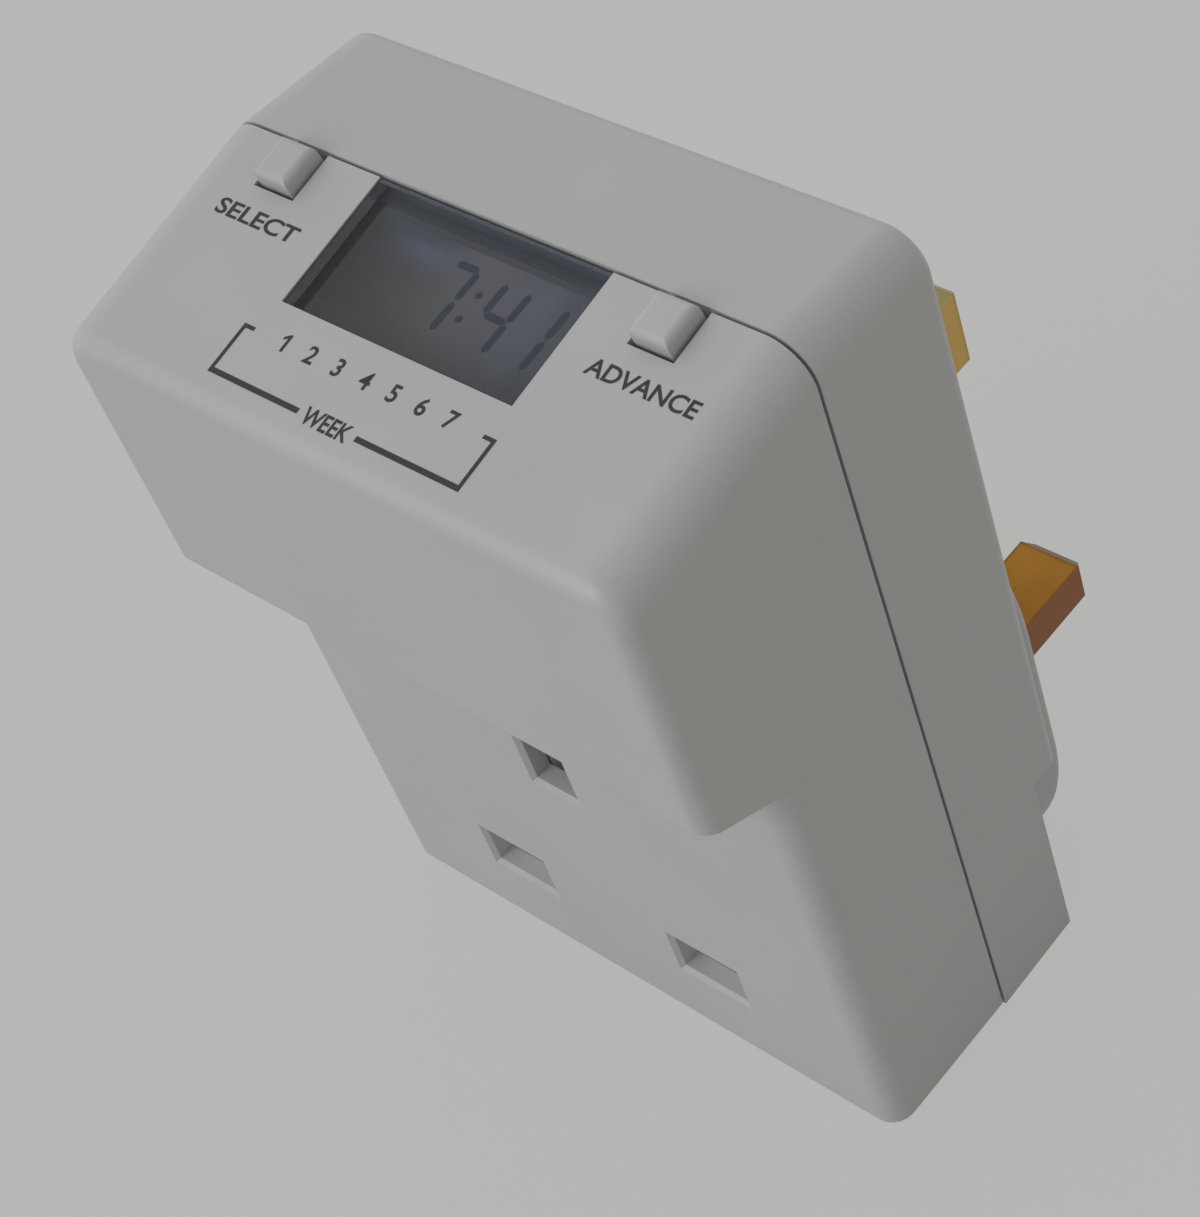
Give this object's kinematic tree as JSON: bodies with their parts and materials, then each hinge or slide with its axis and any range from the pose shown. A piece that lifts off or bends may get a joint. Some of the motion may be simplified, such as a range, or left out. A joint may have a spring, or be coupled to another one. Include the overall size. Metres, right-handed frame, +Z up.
{
  "type": "plug-in timer switch",
  "caption": "Plug-in electronic timer switch with a sloped display head, push buttons, a shuttered through socket on the front and a rectangular-pin plug on the back.",
  "frame": {"origin": "on the plug's engagement face, midway between the line and neutral pins", "axes": "+Y into the wall along the pins, +X to the right seen from the front, +Z up towards the earth pin and the display"},
  "size_m": [0.0582, 0.0627, 0.0808],
  "materials": {
    "housing_plastic": "fine-textured off-white moulding",
    "button_plastic": "smooth off-white moulding",
    "window_plastic": "clear polished pane",
    "display_film": "grey reflective liquid crystal panel",
    "black_plastic": "moulded black",
    "strip_rubber": "layered elastomer",
    "circuit_board": "solder mask",
    "chip_resin": "potting resin",
    "pin_brass": "drawn, lightly polished",
    "contact_brass": "stamped sheet",
    "bright_steel": "zinc plated",
    "winding_wire": "enamelled copper wire",
    "shutter_plastic": "smooth light moulding",
    "carrier_plastic": "natural moulding",
    "relay_plastic": "dark blue moulding",
    "cell_sleeve": "shrunk sleeve",
    "capacitor_plastic": "potted case",
    "can_sleeve": "shrunk sleeve",
    "varistor_coat": "dipped coating",
    "resistor_body": "lacquer"
  },
  "bodies": {
    "timer_body": {"backup_battery": "cell_sleeve", "battery_tabs": "bright_steel", "board_ribbon": "carrier_plastic", "board_screws": "bright_steel", "button_switches": "black_plastic", "carrier_screws": "bright_steel", "clock_crystal": "bright_steel", "contact_carrier": "carrier_plastic", "contact_strips": "strip_rubber", "controller_chip": "chip_resin", "display_board": "circuit_board", "dropper_resistor": "resistor_body", "earth_contact": "contact_brass", "earth_pin": "pin_brass", "fixed_contact": "contact_brass", "front_housing": "housing_plastic", "housing_screws": "bright_steel", "lcd_frame": "black_plastic", "lcd_panel": "display_film", "lcd_window": "window_plastic", "line_contact": "contact_brass", "line_pin": "pin_brass", "line_strap": "contact_brass", "mains_capacitor": "capacitor_plastic", "neutral_contact": "contact_brass", "neutral_pin": "pin_brass", "power_board": "circuit_board", "rear_housing": "housing_plastic", "rectifier_diodes": "chip_resin", "relay_base": "black_plastic", "relay_bobbin": "black_plastic", "relay_cover": "relay_plastic", "relay_winding": "winding_wire", "relay_yoke": "bright_steel", "shutter_spring": "bright_steel", "smoothing_capacitor": "can_sleeve", "surge_varistor": "varistor_coat"},
    "left_button": {"left_button": "button_plastic", "left_plunger": "black_plastic"},
    "right_button": {"right_button": "button_plastic", "right_plunger": "black_plastic"},
    "shutter": {"shutter": "shutter_plastic"},
    "relay_armature": {"relay_armature": "bright_steel", "moving_contact": "contact_brass"}
  },
  "joints": [
    {"name": "left_button_press", "type": "slide", "parent": "timer_body", "child": "left_button", "axis": [0, 0.1777, -0.9841], "range_m": [0, 0.0005], "stiffness_N_per_m": 1000, "springref_m": -0.0005},
    {"name": "right_button_press", "type": "slide", "parent": "timer_body", "child": "right_button", "axis": [0, 0.1777, -0.9841], "range_m": [0, 0.0005], "stiffness_N_per_m": 1000, "springref_m": -0.0005},
    {"name": "shutter_slide", "type": "slide", "parent": "timer_body", "child": "shutter", "axis": [0, 0, 1], "range_m": [0, 0.006], "stiffness_N_per_m": 60, "springref_m": -0.003, "deforming": ["shutter_spring"]},
    {"name": "relay_armature_swing", "type": "hinge", "parent": "timer_body", "child": "relay_armature", "pos_m": [-0.005, 0, 0.0524], "axis": [0, 1, 0], "range_deg": [0, 3], "stiffness_Nm_per_rad": 0.02, "springref_deg": -5.73}
  ]
}
